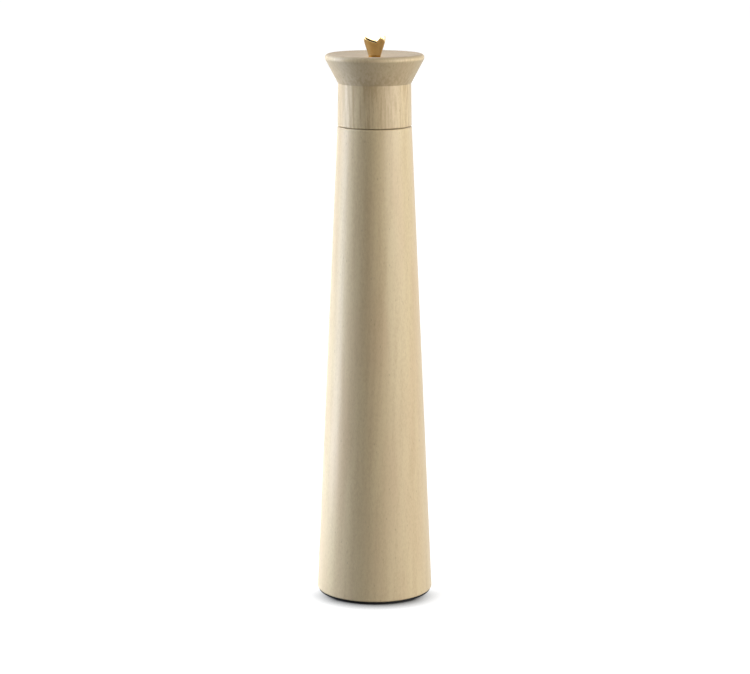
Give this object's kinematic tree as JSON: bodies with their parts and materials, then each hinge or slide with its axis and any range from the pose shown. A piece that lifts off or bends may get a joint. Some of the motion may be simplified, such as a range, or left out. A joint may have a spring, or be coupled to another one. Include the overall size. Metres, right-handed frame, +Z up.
{
  "type": "pepper mill",
  "caption": "Tall turned wooden pepper mill: conical body, flared turning head with a dished top, swirled brass adjusting knob, square drive shaft and a toothed steel grinder in a black base.",
  "frame": {"origin": "on the mill's vertical axis, at the surface that it stands on", "axes": "+Z up along the mill's axis, -Y towards the viewer of the picture, +X to that viewer's right"},
  "size_m": [0.0622, 0.0622, 0.3],
  "materials": {
    "pale_wood": "satin lacquer over fine straight grain",
    "polished_brass": "polished",
    "bright_steel": "drawn and lightly brushed",
    "zinc_steel": "zinc plated",
    "hardened_steel": "dark, case hardened",
    "black_plastic": "moulded, fine matt",
    "white_plastic": "moulded, natural colour"
  },
  "bodies": {
    "base": {"mill_body": "pale_wood", "grinder_housing": "black_plastic", "housing_screws": "zinc_steel", "grinding_ring": "hardened_steel", "shaft_bridge": "bright_steel"},
    "bush": {"shaft_bush": "white_plastic", "pressure_spring": "bright_steel"},
    "spindle": {"drive_shaft": "bright_steel", "grinding_cone": "hardened_steel", "cone_washer": "zinc_steel", "shaft_clip": "hardened_steel"},
    "top": {"head": "pale_wood", "drive_plate": "bright_steel", "drive_plate_screws": "zinc_steel", "knob_washer": "polished_brass"},
    "knob": {"adjusting_knob": "polished_brass"}
  },
  "joints": [
    {"name": "grind_turn", "type": "hinge", "parent": "base", "child": "bush", "pos_m": [0, 0, 0.028], "axis": [0, 0, 1], "continuous": true},
    {"name": "spindle_drop", "type": "slide", "parent": "bush", "child": "spindle", "axis": [0, 0, 1], "range_m": [-0.0014, 0], "deforming": ["pressure_spring"]},
    {"name": "head_lift", "type": "slide", "parent": "bush", "child": "top", "axis": [0, 0, 1], "range_m": [0, 0.075]},
    {"name": "knob_turn", "type": "hinge", "parent": "top", "child": "knob", "pos_m": [0, 0, 0.2891], "axis": [0, 0, 1], "range_deg": [0, 720]}
  ],
  "couplings": [
    {"joint": "knob_turn", "follows": "spindle_drop", "rad_per_m": -8976}
  ]
}
